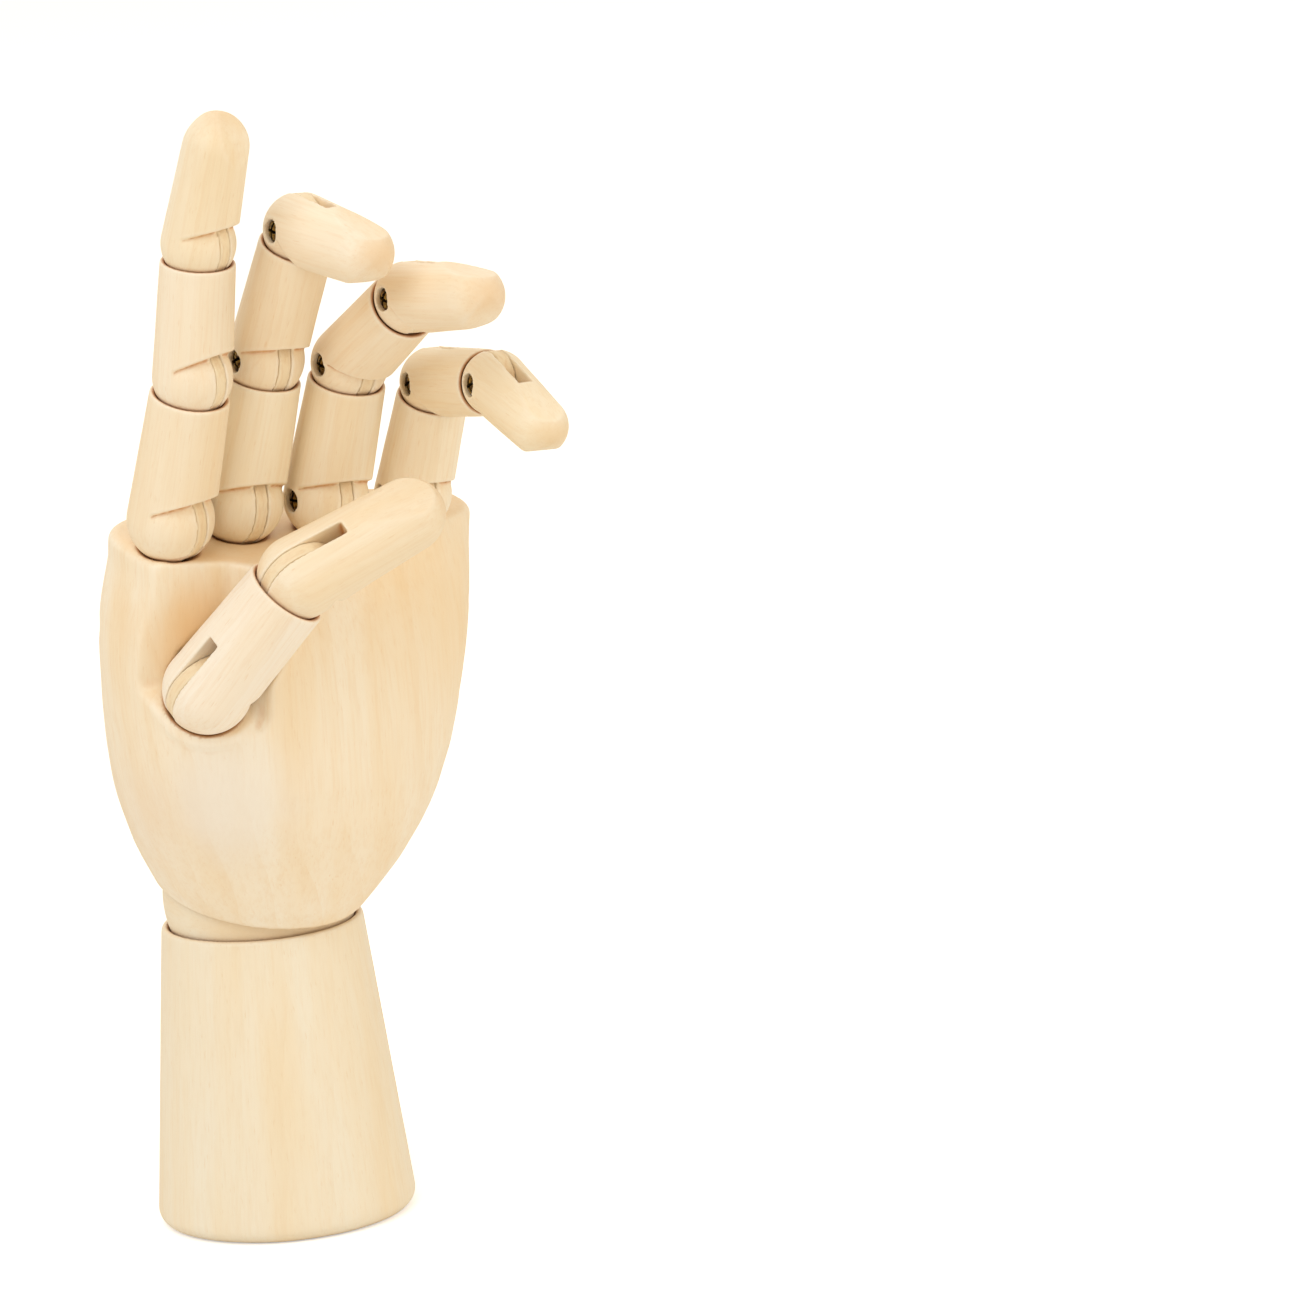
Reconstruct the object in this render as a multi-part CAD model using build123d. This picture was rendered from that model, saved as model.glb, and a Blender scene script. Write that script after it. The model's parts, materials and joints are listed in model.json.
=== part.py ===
from build123d import *
import math
import os

# Wooden hand mannequin: a left hand on a turned forearm, posed with the index up and the thumb across the palm.
# The origin is the centre of the face that it stands on. Z is up, the palm faces -Y and the thumb is on the -X side.
# Lengths are millimetres and angles are degrees.

# forearm base
base_height = 46.7
base_bottom_radius = 20.1
base_top_radius = 15.5
base_foot_round = 2.3
base_rim_round = 0.45
base_bore_radius = 4.6
counterbore_radius = 8.0
counterbore_depth = 6.0
anchor_pin_radius = 0.9
anchor_pin_height = 3.4
anchor_pin_half_length = 11.0

# wrist ball, cups and the pull between base and palm
ball_radius = 14.9
ball_gap = 0.2
ball_lift = 4.2
ball_waist_radius = 4.4
ball_mouth_radius = 7.2
wire_radius = 0.6
coil_wire_radius = 0.5
coil_radius = 2.7
coil_turns = 14
coil_pitch = 1.6
link_radius = 2.7
link_offset = 0.7
hook_ring_radius = 2.0
hook_ring_height = 30.45
shank_radius = 1.2
shank_depth = 12.0

# pose of the palm on the ball
palm_side_lean = 3.75
palm_forward_lean = 14.0

# palm sections: height over the ball centre, half width, half depth, shape power, centre across and centre forward
palm_sections = [
    (1.0, 15.7, 17.2, 2.0, 0.0, 0.3),
    (6.0, 19.4, 18.3, 2.0, 0.2, -0.4),
    (13.0, 23.3, 19.0, 2.1, 0.25, -1.1),
    (22.0, 26.6, 19.3, 2.2, 0.35, -1.7),
    (32.0, 28.8, 18.2, 2.3, 0.4, -1.8),
    (42.0, 30.1, 16.6, 2.45, 0.3, -1.5),
    (51.0, 30.1, 14.3, 2.8, 0.6, -0.7),
    (60.5, 30.9, 11.3, 3.1, 1.2, 1.1),
]
section_points = 32
palm_top = palm_sections[-1][0]
palm_top_round = 1.6
palm_foot_round = 0.6

# above this height the sections turn a little and grow thinner towards the little finger
palm_taper_start = 13.0
palm_turn = 6.2
palm_taper = 0.34

# recess that the thumb stands in: its wall in plan and its curved far side
recess_wall = [(-36.0, -6.3), (-28.7, -8.0), (-16.8, -10.8)]
recess_wall_bend = (-13.9, -13.6)
recess_wall_end = (-12.4, -19.5)
recess_front = -34.0
recess_corner_round = 2.0
recess_corner_front = -22.0
recess_lip_round = 0.8

# above this place the wall leans forward, so that it meets the top face near its front edge
recess_lean = 5.0
recess_lean_start = (-22.8, -9.4, 40.0)
recess_lean_turn = -13.2

# sloping floor of the recess, through a point under the thumb ball
ledge_point = (-21.9, -17.0, 35.5)
ledge_rise_across = 0.31
ledge_rise_back = 0.80

# fingers: place on the palm, splay, turn about the own axis, bends, lengths between joints, ball radii and pin side
fingers = {
    "index": dict(
        place=(-23.3, -3.9), splay=-0.9, turn=20.5, bends=(5.5, -7.6, 9.2),
        lengths=(23.4, 20.8, 21.0), balls=(6.6, 6.0, 5.6), pin_side=1,
    ),
    "middle": dict(
        place=(-9.8, -0.5), splay=3.1, turn=3.0, bends=(3.0, 8.4, 70.7),
        lengths=(23.3, 22.4, 21.8), balls=(6.5, 5.9, 5.6), pin_side=-1,
    ),
    "ring": dict(
        place=(3.8, -2.3), splay=2.0, turn=2.7, bends=(4.6, 37.7, 27.3),
        lengths=(22.4, 20.8, 21.8), balls=(6.5, 5.9, 5.5), pin_side=-1,
    ),
    "little": dict(
        place=(18.3, -3.2), splay=0.0, turn=-1.7, bends=(10.3, 59.6, 25.7),
        lengths=(19.6, 19.4, 18.7), balls=(5.9, 5.4, 5.0), pin_side=-1,
    ),
}
knuckle_rise = 0.76

# thumb: ball centre, tilt of its stem, turn about the stem, bends, lengths and ball radii
thumb_place = (-20.6, -14.8, 42.1)
thumb_tilt = 22.7
thumb = dict(turn=96.3, bends=(25.2, 37.1), lengths=(23.2, 24.4), balls=(6.8, 6.4), pin_side=1)
thumb_clearance = 0.6

# joints between the pieces of a finger: shares are of the ball radius
socket_gap = 0.2
rim_drop = 0.5
rim_round = 0.2
relief_side = 0.17
relief_foot = 0.3
relief_slope = 0.6
relief_step = 0.02
tongue_thickness = 2.0
slot_gap = 0.12
slot_height = 8.7
slot_ball_gap = 0.3
tongue_ball_inset = 0.2
root_half_width = 3.0
root_depth = 5.0
stem_radius = 2.2
stem_gap = 0.05
stem_depth = 9.0
pin_radius = 1.75
pin_gap = 0.05
pin_recess = 0.45
pin_end_wall = 1.7

# fingertips: the barrel narrows to a blunt dome, with a flat nail side and a crowned pad side
# the nail's start is a share of the length, and the other values are shares of the ball radius
tip_radius_share = 0.88
dome_height = 0.95
nail_start = 0.40
nail_start_height = 0.975
nail_end_height = 0.47
pad_centre = 0.1
pad_reach = 1.07
pad_height = 2.0

wrist_height = base_height + ball_lift
wrist_frame = Pos(0, 0, wrist_height)
ball_frame = wrist_frame * Rot(Y=palm_side_lean)
palm_frame = ball_frame * Rot(X=palm_forward_lean)
coil_bottom = anchor_pin_height - anchor_pin_radius - coil_wire_radius - 0.1 + coil_radius


# a prism across the finger, from its outline as (depth, height) points
def side_prism(points, half_width):
    outline = make_face(Polyline(*[(0, y, z) for y, z in points], close=True))
    return extrude(outline, amount=half_width, dir=(1, 0, 0), both=True)


def cross_cylinder(radius, start, end):
    return Pos((start + end) / 2, 0, 0) * Rot(Y=90) * Cylinder(radius, end - start)


# forearm base, with the cup of the ball on top and a bore for the spring
def make_base():
    outline = Polyline(
        (0, 0), (base_bottom_radius, 0), (base_top_radius, base_height), (0, base_height), close=True
    )
    body = revolve(make_face(Plane.XZ * outline), Axis.Z)
    body = fillet(body.edges().filter_by(GeomType.CIRCLE).sort_by(Axis.Z)[0], base_foot_round)
    body -= Pos(0, 0, wrist_height) * Sphere(ball_radius + ball_gap)
    rim = body.edges().filter_by(GeomType.CIRCLE).group_by(Axis.Z)[-1].sort_by(SortBy.RADIUS)[-1]
    body = fillet(rim, base_rim_round)
    body -= Pos(0, 0, base_height / 2) * Cylinder(base_bore_radius, base_height)
    body -= Pos(0, 0, counterbore_depth / 2) * Cylinder(counterbore_radius, counterbore_depth)
    groove = Box(2 * anchor_pin_radius, 2 * anchor_pin_half_length, anchor_pin_height)
    body -= Pos(0, 0, anchor_pin_height / 2) * groove
    return body - make_anchor_pin()


def make_anchor_pin():
    return Pos(0, 0, anchor_pin_height) * Rot(X=90) * Cylinder(anchor_pin_radius, 2 * anchor_pin_half_length)


# tension spring: a coil with a half loop at each end
def make_spring():
    coil_height = coil_pitch * coil_turns
    coil = Pos(0, 0, coil_bottom) * Helix(coil_pitch, coil_height, coil_radius)
    wire = Plane(origin=coil @ 0, z_dir=coil % 0) * Circle(coil_wire_radius)
    turns = sweep(wire, path=coil)
    loop_section = Pos(coil_radius, 0, 0) * Circle(coil_wire_radius)
    upper = Pos(0, 0, coil_bottom + coil_height) * revolve(loop_section, Axis.Y, -180)
    lower = Pos(0, 0, coil_bottom) * revolve(loop_section, Axis.Y, 180)
    return turns + upper + lower


# wire hook: one ring in the upper loop of the spring, one ring in the middle of the ball
def make_hook():
    link_height = wrist_height - link_radius + link_offset
    shaft_bottom = hook_ring_height + hook_ring_radius
    shaft_top = link_height - link_radius
    shaft = Pos(0, 0, (shaft_bottom + shaft_top) / 2) * Cylinder(wire_radius, shaft_top - shaft_bottom)
    ring = Pos(0, 0, hook_ring_height) * Rot(Y=90) * Torus(hook_ring_radius, wire_radius)
    link = Pos(0, 0, link_height) * Rot(Y=90) * Torus(link_radius, wire_radius)
    return shaft + ring + link


# wooden ball with a bore that opens towards both ends
def make_ball():
    half = ball_radius
    bore = make_face(Plane.XZ * Polyline(
        (0, -half), (ball_mouth_radius, -half), (ball_waist_radius, 0), (ball_mouth_radius, half), (0, half),
        close=True,
    ))
    return ball_frame * (Sphere(ball_radius) - revolve(bore, Axis.Z))


# eye on a shank that is fixed in the palm, in the palm's own frame
def make_screw_eye():
    ring_height = link_radius - link_offset
    shank_bottom = ring_height + link_radius
    shank_top = ball_radius + shank_depth
    shank = Pos(0, 0, (shank_bottom + shank_top) / 2) * Cylinder(shank_radius, shank_top - shank_bottom)
    return Pos(0, 0, ring_height) * Rot(X=90) * Torus(link_radius, wire_radius) + shank


# palm
def palm_section(height, half_width, half_depth, power, centre_across, centre_forward):
    share = max(0, (height - palm_taper_start) / (palm_top - palm_taper_start))
    points = []
    for i in range(section_points):
        angle = 2 * math.pi * (i + 0.5) / section_points
        c = math.cos(angle)
        s = math.sin(angle)
        across = math.copysign(abs(c) ** (2 / power), c)
        y = math.copysign(half_depth * abs(s) ** (2 / power), s) * (1 - palm_taper * share * across)
        points.append((half_width * across, y))
    outline = make_face(Spline(*points, periodic=True))
    return Pos(centre_across, centre_forward, height) * Rot(Z=palm_turn * share) * outline


def make_recess():
    wall = Polyline(*recess_wall)
    side = ThreePointArc(recess_wall[-1], recess_wall_bend, recess_wall_end)
    front = Polyline(recess_wall_end, (recess_wall_end[0], recess_front), (recess_wall[0][0], recess_front),
                     recess_wall[0])
    plan = make_face(Wire([*wall.edges(), *side.edges(), *front.edges()]))
    column = extrude(plan, amount=palm_top * 1.3)
    ledge = Plane(origin=ledge_point, z_dir=(-ledge_rise_across, -ledge_rise_back, 1))
    above_ledge = ledge * Pos(0, 0, palm_top) * Box(4 * palm_top, 4 * palm_top, 2 * palm_top)
    recess = column & above_ledge
    floor = recess.faces().sort_by(Axis.Z)[0]
    corners = floor.edges().filter_by(lambda edge: (edge @ 0.5).Y > recess_corner_front)
    return fillet(corners, recess_corner_round)


# what stays of the palm between the leaning wall and the upright one
def make_leaning_wall():
    wall_place = Pos(*recess_lean_start) * Rot(Z=recess_lean_turn) * Rot(X=recess_lean)
    depth = palm_top / 5
    return wall_place * Pos(0, depth / 2, palm_top / 2) * Box(palm_top / 2, depth, palm_top)


def knuckle_place(name):
    data = fingers[name]
    x, y = data["place"]
    return Pos(x, y, palm_top + knuckle_rise * data["balls"][0]) * Rot(Y=data["splay"]) * Rot(Z=data["turn"])


thumb_socket_place = Pos(*thumb_place) * Rot(X=thumb_tilt) * Rot(Z=thumb["turn"])


def make_palm():
    block = loft([palm_section(*row) for row in palm_sections])
    block = fillet(block.faces().sort_by(Axis.Z)[-1].edges(), palm_top_round)
    block = fillet(block.faces().sort_by(Axis.Z)[0].edges(), palm_foot_round)
    wall = block & make_leaning_wall()
    recess = make_recess()
    lip = new_edges(block, recess, combined=block - recess)
    block = fillet(lip.filter_by(lambda edge: (edge @ 0.5).Z < palm_top - 0.5), recess_lip_round)
    block += wall
    block -= Sphere(ball_radius + ball_gap)
    block -= make_screw_eye()
    for name, data in fingers.items():
        place = knuckle_place(name)
        radius = data["balls"][0]
        block -= place * Sphere(radius + socket_gap)
        block -= place * (make_stem_hole(radius) if name == "index" else make_root(radius))
    channel = Pos(0, 0, palm_top / 4) * Cylinder(thumb["balls"][0] + thumb_clearance, palm_top / 2)
    block -= thumb_socket_place * Rot(X=thumb["bends"][0]) * channel
    block -= thumb_socket_place * Sphere(thumb["balls"][0] + socket_gap)
    block -= thumb_socket_place * make_stem_hole(thumb["balls"][0])
    return block


# flat root of a tongue that is fixed in the piece below it
def make_root(radius):
    height = radius + root_depth
    return Pos(0, 0, -height / 2) * Box(tongue_thickness, 2 * root_half_width, height)


# round stem of a tongue that can turn
def make_stem(radius):
    return Pos(0, 0, -radius - stem_gap * 4 - stem_depth / 2) * Cylinder(stem_radius, stem_depth)


def make_stem_hole(radius):
    depth = radius + stem_gap * 4 + stem_depth + 0.3
    return Pos(0, 0, -depth / 2) * Cylinder(stem_radius + stem_gap, depth)


# tongue: a flat plate around the pin, in the frame of the piece that holds it, with its origin on the pin
def make_tongue(radius, turning=False):
    half = tongue_thickness / 2
    plate = cross_cylinder(radius - tongue_ball_inset, -half, half)
    if turning:
        neck = Box(tongue_thickness, 2 * stem_radius * 0.85, radius + stem_depth / 2)
        plate += Pos(0, 0, -(radius + stem_depth / 2) / 2) * neck + make_stem(radius)
    else:
        plate += make_root(radius)
    return plate - cross_cylinder(pin_radius + pin_gap, -half * 2, half * 2)


# pin, in from one side and stopped short of the other
def pin_ends(radius, pin_side):
    head = radius - pin_recess
    end = radius - pin_end_wall
    return (-head, end) if pin_side < 0 else (-end, head)


def make_pin(radius, pin_side):
    return cross_cylinder(pin_radius, *pin_ends(radius, pin_side))


# relief under the palm side of a piece, slot for the tongue and hole for the pin
def cut_joint(body, radius, pin_side):
    side = -relief_side * radius
    front = -1.5 * radius
    foot = relief_foot * radius
    body -= side_prism([
        (side, -1.5 * radius), (side, foot - relief_slope * side),
        (front, foot - relief_slope * front), (front, -1.5 * radius),
    ], 1.5 * radius)
    body += Sphere(radius - relief_step)
    half = tongue_thickness / 2 + slot_gap
    body -= cross_cylinder(radius + slot_ball_gap, -half, half)
    body -= side_prism([
        (0, -1.2 * radius), (1.4 * radius, -1.2 * radius), (1.4 * radius, slot_height), (0, slot_height),
    ], half)
    start, end = pin_ends(radius, pin_side)
    mouth = (-1.2 * radius, end) if pin_side < 0 else (start, 1.2 * radius)
    return body - cross_cylinder(pin_radius, *mouth)


# proximal or middle piece of a finger: ball end at the origin, cup for the next ball at the top
def make_phalanx(radius, next_radius, length, pin_side):
    rim_height = length - rim_drop * next_radius
    outline = make_face(Plane.XZ * Wire([
        RadiusArc((0, -radius), (radius, 0), -radius).edge(),
        *Polyline((radius, 0), (next_radius, rim_height), (0, rim_height), (0, -radius)).edges(),
    ]))
    body = revolve(outline, Axis.Z)
    body -= Pos(0, 0, length) * Sphere(next_radius + socket_gap)
    rim = body.edges().filter_by(GeomType.CIRCLE).group_by(Axis.Z)[-1].sort_by(SortBy.RADIUS)[-1]
    body = fillet(rim, rim_round)
    body = cut_joint(body, radius, pin_side)
    return body - Pos(0, 0, length) * make_root(next_radius)


# end piece of a finger: blunt dome, flat nail at the back and a crowned pad
def make_fingertip(radius, length, pin_side):
    tip_radius = tip_radius_share * radius
    dome = dome_height * radius
    dome_start = length - dome
    dome_middle = (tip_radius * math.sqrt(0.5), dome_start + dome * math.sqrt(0.5))
    outline = make_face(Plane.XZ * Wire([
        RadiusArc((0, -radius), (radius, 0), -radius).edge(),
        Line((radius, 0), (tip_radius, dome_start)).edge(),
        Spline((tip_radius, dome_start), dome_middle, (0, length), tangents=[(0, 1), (-1, 0)]).edge(),
        Line((0, length), (0, -radius)).edge(),
    ]))
    body = revolve(outline, Axis.Z)
    body -= make_nail_cut(radius, length)
    body -= make_pad_cut(radius, length)
    return cut_joint(body, radius, pin_side)


# wedge outside the flat of the nail, which runs on past both ends of the piece
def make_nail_cut(radius, length):
    z1, y1 = nail_start * length, nail_start_height * radius
    z2, y2 = length, nail_end_height * radius
    slope = (y2 - y1) / (z2 - z1)
    low = z1 - radius
    high = z2 + radius
    far = 3 * radius
    points = [(y1 - slope * radius, low), (y2 + slope * radius, high), (far, high), (far, low)]
    return side_prism(points, 2 * radius)


# all that lies outside an ellipse on the palm side of the tip
def make_pad_cut(radius, length):
    foot = length - pad_height * radius
    middle = pad_centre * radius
    block = side_prism([
        (middle, foot), (middle, length + radius), (-2 * radius, length + radius), (-2 * radius, foot),
    ], 1.5 * radius)
    ellipse = Plane.YZ * Pos(middle, foot) * Ellipse(pad_reach * radius, pad_height * radius)
    return block - extrude(ellipse, amount=2 * radius, both=True)


# places of every joint, and the pieces along each finger
def joint_frames(first, bends, lengths):
    frames = []
    place = first
    for bend, length in zip(bends, lengths):
        piece = place * Rot(X=bend)
        frames.append((place, piece))
        place = piece * Pos(0, 0, length)
    return frames


finger_frames = {
    name: joint_frames(palm_frame * knuckle_place(name), data["bends"], data["lengths"])
    for name, data in fingers.items()
}
finger_frames["thumb"] = joint_frames(palm_frame * thumb_socket_place, thumb["bends"], thumb["lengths"])
joint_names = {3: ("knuckle", "middle", "end"), 2: ("knuckle", "end")}
piece_names = {3: ("proximal", "middle", "distal"), 2: ("proximal", "distal")}


def finger_pieces(name, data):
    pieces = {}
    balls = data["balls"]
    count = len(balls)
    for i, (place, piece) in enumerate(finger_frames[name]):
        joint = joint_names[count][i]
        radius = balls[i]
        turning = i == 0 and name in ("index", "thumb")
        pieces[f"{name}_{joint}_tongue"] = place * make_tongue(radius, turning)
        pieces[f"{name}_{joint}_pin"] = piece * make_pin(radius, data["pin_side"])
        if i + 1 < count:
            solid = make_phalanx(radius, balls[i + 1], data["lengths"][i], data["pin_side"])
        else:
            solid = make_fingertip(radius, data["lengths"][i], data["pin_side"])
        pieces[f"{name}_{piece_names[count][i]}"] = piece * solid
    return pieces


nodes = {
    "forearm_base": make_base(),
    "base_anchor_pin": make_anchor_pin(),
    "wrist_spring": make_spring(),
    "wrist_hook": make_hook(),
    "wrist_ball": make_ball(),
    "palm_screw_eye": palm_frame * make_screw_eye(),
    "palm": palm_frame * make_palm(),
}
for finger_name, finger_data in {**fingers, "thumb": thumb}.items():
    nodes.update(finger_pieces(finger_name, finger_data))

os.makedirs("parts", exist_ok=True)
for node_name, shape in nodes.items():
    export_step(shape, f"parts/{node_name}.step")
print(len(nodes), "nodes")
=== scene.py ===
import json
import math

import bmesh
import bpy
import numpy as np
from mathutils import Matrix, Vector


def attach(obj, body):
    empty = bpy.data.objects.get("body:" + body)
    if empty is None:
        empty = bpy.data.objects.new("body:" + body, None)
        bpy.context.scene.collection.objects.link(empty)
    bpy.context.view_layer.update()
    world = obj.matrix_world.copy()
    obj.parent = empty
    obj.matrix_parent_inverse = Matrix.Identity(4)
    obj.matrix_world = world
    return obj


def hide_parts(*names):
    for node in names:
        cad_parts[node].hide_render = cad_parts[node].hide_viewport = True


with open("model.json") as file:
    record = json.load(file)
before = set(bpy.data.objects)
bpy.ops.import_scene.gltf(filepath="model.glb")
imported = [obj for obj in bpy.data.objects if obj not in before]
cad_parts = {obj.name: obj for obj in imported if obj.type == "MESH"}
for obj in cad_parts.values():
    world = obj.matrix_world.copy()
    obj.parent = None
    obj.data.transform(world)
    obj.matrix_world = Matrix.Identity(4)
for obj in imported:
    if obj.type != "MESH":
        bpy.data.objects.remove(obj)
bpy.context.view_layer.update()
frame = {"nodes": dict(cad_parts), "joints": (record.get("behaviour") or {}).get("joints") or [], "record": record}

nodes = frame["nodes"]
jointByName = {joint["name"]: joint for joint in frame["joints"]}
slotOfNode = {row["node"]: row["material_slot"] for row in frame["record"]["subparts"]}
bodyOfNode = {
    node: body for body, members in frame["record"]["behaviour"]["bodies"].items() for node in members
}
scene = bpy.context.scene
scene.view_settings.view_transform = "Standard"
millimetre = 0.001

# the fingers, with the joints from the palm outwards and the piece that follows each
longFinger = (("knuckle", "proximal"), ("middle", "middle"), ("end", "distal"))
fingerPieces = {
    "index": longFinger,
    "middle": longFinger,
    "ring": longFinger,
    "little": longFinger,
    "thumb": (("knuckle", "proximal"), ("end", "distal")),
}


def toLinear(hexColour):
    values = [int(hexColour[i:i + 2], 16) / 255 for i in (1, 3, 5)]
    linear = [v / 12.92 if v <= 0.04045 else ((v + 0.055) / 1.055) ** 2.4 for v in values]
    return (*linear, 1.0)


# adds a node: settings are its properties, inputs are values or links by socket name or number
def addNode(tree, kind, inputs=None, **settings):
    node = tree.nodes.new(kind)
    for key, value in settings.items():
        setattr(node, key, value)
    for key, value in (inputs or {}).items():
        if isinstance(value, bpy.types.NodeSocket):
            tree.links.new(value, node.inputs[key])
        else:
            node.inputs[key].default_value = value
    return node


def newMaterial(name):
    material = bpy.data.materials.new(name)
    material.use_nodes = True
    return material, material.node_tree, material.node_tree.nodes["Principled BSDF"]


def newObject(name, data):
    thing = bpy.data.objects.new(name, data)
    scene.collection.objects.link(thing)
    return thing


def jointPlace(name):
    return Vector(jointByName[name]["pos_m"])


# from the hand towards a place round it: azimuth 0 is the front, positive to its right, in degrees
def wayTo(azimuth, elevation):
    a, e = math.radians(azimuth), math.radians(elevation)
    return Vector((math.sin(a) * math.cos(e), -math.cos(a) * math.cos(e), math.sin(e)))


# frame of a piece of wood: origin, and axes with z along the grain and x across the finger
def grainFrame(origin, along, across):
    z = Vector(along).normalized()
    x = Vector(across)
    x = (x - x.dot(z) * z).normalized()
    y = z.cross(x)
    turn = Matrix((x, y, z)).transposed().to_4x4()
    return Matrix.Translation(origin) @ turn


def meshPoints(mesh):
    points = np.empty(len(mesh.vertices) * 3)
    mesh.vertices.foreach_get("co", points)
    return points.reshape(-1, 3)


def vertexNormals(mesh):
    normals = np.empty(len(mesh.vertices) * 3)
    mesh.vertices.foreach_get("normal", normals)
    return normals.reshape(-1, 3)


def placePoints(mesh, points):
    mesh.vertices.foreach_set("co", points.ravel())
    mesh.update()


# camera, at the photograph's angle and framing
cameraView = {
    "azimuth": -27.0,
    "elevation": 13.6,
    "roll": 5.2,
    "distance": 1.3,
    "target": (0.0, 0.0, 0.0467),
    "targetPixel": (262.05, 917.0),     # where the target stands in the image, from its top left
    "imageSide": 1299,
    "pixelSize": 0.1535 * millimetre,   # at the target
    "sensorWidth": 36.0,
    "clipEnd": 50.0,
}


def makeCamera(view):
    back = wayTo(view["azimuth"], view["elevation"])
    right = Vector((0, 0, 1)).cross(back).normalized()
    up = back.cross(right)
    turn = Matrix((right, up, back)).transposed()
    turn = turn @ Matrix.Rotation(-math.radians(view["roll"]), 3, "Z")
    focalPixels = view["distance"] / view["pixelSize"]
    half = view["imageSide"] / 2
    aim = Vector((view["targetPixel"][0] - half, half - view["targetPixel"][1], -focalPixels))
    swing = Vector((0, 0, -1)).rotation_difference(aim).to_matrix()
    turn = turn @ swing.transposed()
    place = Vector(view["target"]) + view["distance"] * back
    data = bpy.data.cameras.new("photoCamera")
    data.sensor_width = view["sensorWidth"]
    data.lens = focalPixels / view["imageSide"] * view["sensorWidth"]
    data.clip_end = view["clipEnd"]
    camera = newObject("photoCamera", data)
    camera.matrix_world = Matrix.Translation(place) @ turn.to_4x4()
    scene.camera = camera


makeCamera(cameraView)
print("camera placed")

# studio: pale floor, white surround and three soft boxes round the middle of the hand
studio = {
    "floorColour": "#F4F3F1",
    "floorRadius": 4.0,
    "floorCorners": 64,
    "floorLift": 0.45,      # for camera rays only, so that the lit floor reads as white
    "skyLevel": 0.66,
    "skyColour": "#FFF3DF",
    "middle": (0.0, 0.0, 0.09),
    "softBoxes": (
        # name, azimuth, elevation, distance, side, watts, colour
        ("keyBox", -58.0, 46.0, 1.25, 1.0, 6.2, "#F5F9FF"),
        ("fillBox", 42.0, 18.0, 1.40, 1.2, 4.2, "#FFF0DA"),
        ("backBox", 165.0, 50.0, 1.40, 1.0, 3.2, "#FFFAF2"),
    ),
}
white = (1, 1, 1, 1)


def makeFloor(setup):
    corners = setup["floorCorners"]
    angles = [2 * math.pi * i / corners for i in range(corners)]
    rim = [(setup["floorRadius"] * math.cos(a), setup["floorRadius"] * math.sin(a), 0) for a in angles]
    mesh = bpy.data.meshes.new("floor")
    mesh.from_pydata(rim, [], [list(range(corners))])
    floor = newObject("floor", mesh)
    paint, tree, _ = newMaterial("paleFloor")
    tree.nodes.clear()
    matt = addNode(tree, "ShaderNodeBsdfDiffuse", {"Color": toLinear(setup["floorColour"])})
    ray = addNode(tree, "ShaderNodeLightPath")
    lift = addNode(tree, "ShaderNodeMath", {
        0: ray.outputs["Is Camera Ray"], 1: setup["floorLift"]}, operation="MULTIPLY")
    glow = addNode(tree, "ShaderNodeEmission", {"Color": white, "Strength": lift.outputs[0]})
    both = addNode(tree, "ShaderNodeAddShader", {0: matt.outputs[0], 1: glow.outputs[0]})
    addNode(tree, "ShaderNodeOutputMaterial", {"Surface": both.outputs[0]})
    mesh.materials.append(paint)


# the camera, gloss and glass see plain white, and the hand is lit by the softer sky
def makeSurround(setup):
    world = bpy.data.worlds.new("whiteSurround")
    scene.world = world
    world.use_nodes = True
    tree = world.node_tree
    tree.nodes.clear()
    ray = addNode(tree, "ShaderNodeLightPath")
    seen = addNode(tree, "ShaderNodeMath", {
        0: ray.outputs["Is Camera Ray"], 1: ray.outputs["Is Glossy Ray"]}, operation="MAXIMUM")
    seen = addNode(tree, "ShaderNodeMath", {
        0: seen.outputs[0], 1: ray.outputs["Is Transmission Ray"]}, operation="MAXIMUM")
    level = addNode(tree, "ShaderNodeMapRange", {
        "Value": seen.outputs[0], "To Min": setup["skyLevel"], "To Max": 1.0})
    tint = addNode(tree, "ShaderNodeMix", {
        0: seen.outputs[0], 6: toLinear(setup["skyColour"]), 7: white}, data_type="RGBA")
    sky = addNode(tree, "ShaderNodeBackground", {
        "Color": tint.outputs[2], "Strength": level.outputs[0]})
    addNode(tree, "ShaderNodeOutputWorld", {"Surface": sky.outputs[0]})


def makeSoftBoxes(setup):
    for name, azimuth, elevation, distance, side, watts, tone in setup["softBoxes"]:
        away = wayTo(azimuth, elevation)
        lamp = bpy.data.lights.new(name, "AREA")
        lamp.shape = "SQUARE"
        lamp.size = side
        lamp.energy = watts
        lamp.color = toLinear(tone)[:3]
        box = newObject(name, lamp)
        place = Matrix.Translation(Vector(setup["middle"]) + distance * away)
        box.matrix_world = place @ away.to_track_quat("Z", "Y").to_matrix().to_4x4()


makeFloor(studio)
makeSurround(studio)
makeSoftBoxes(studio)
print("studio lit")

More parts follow.
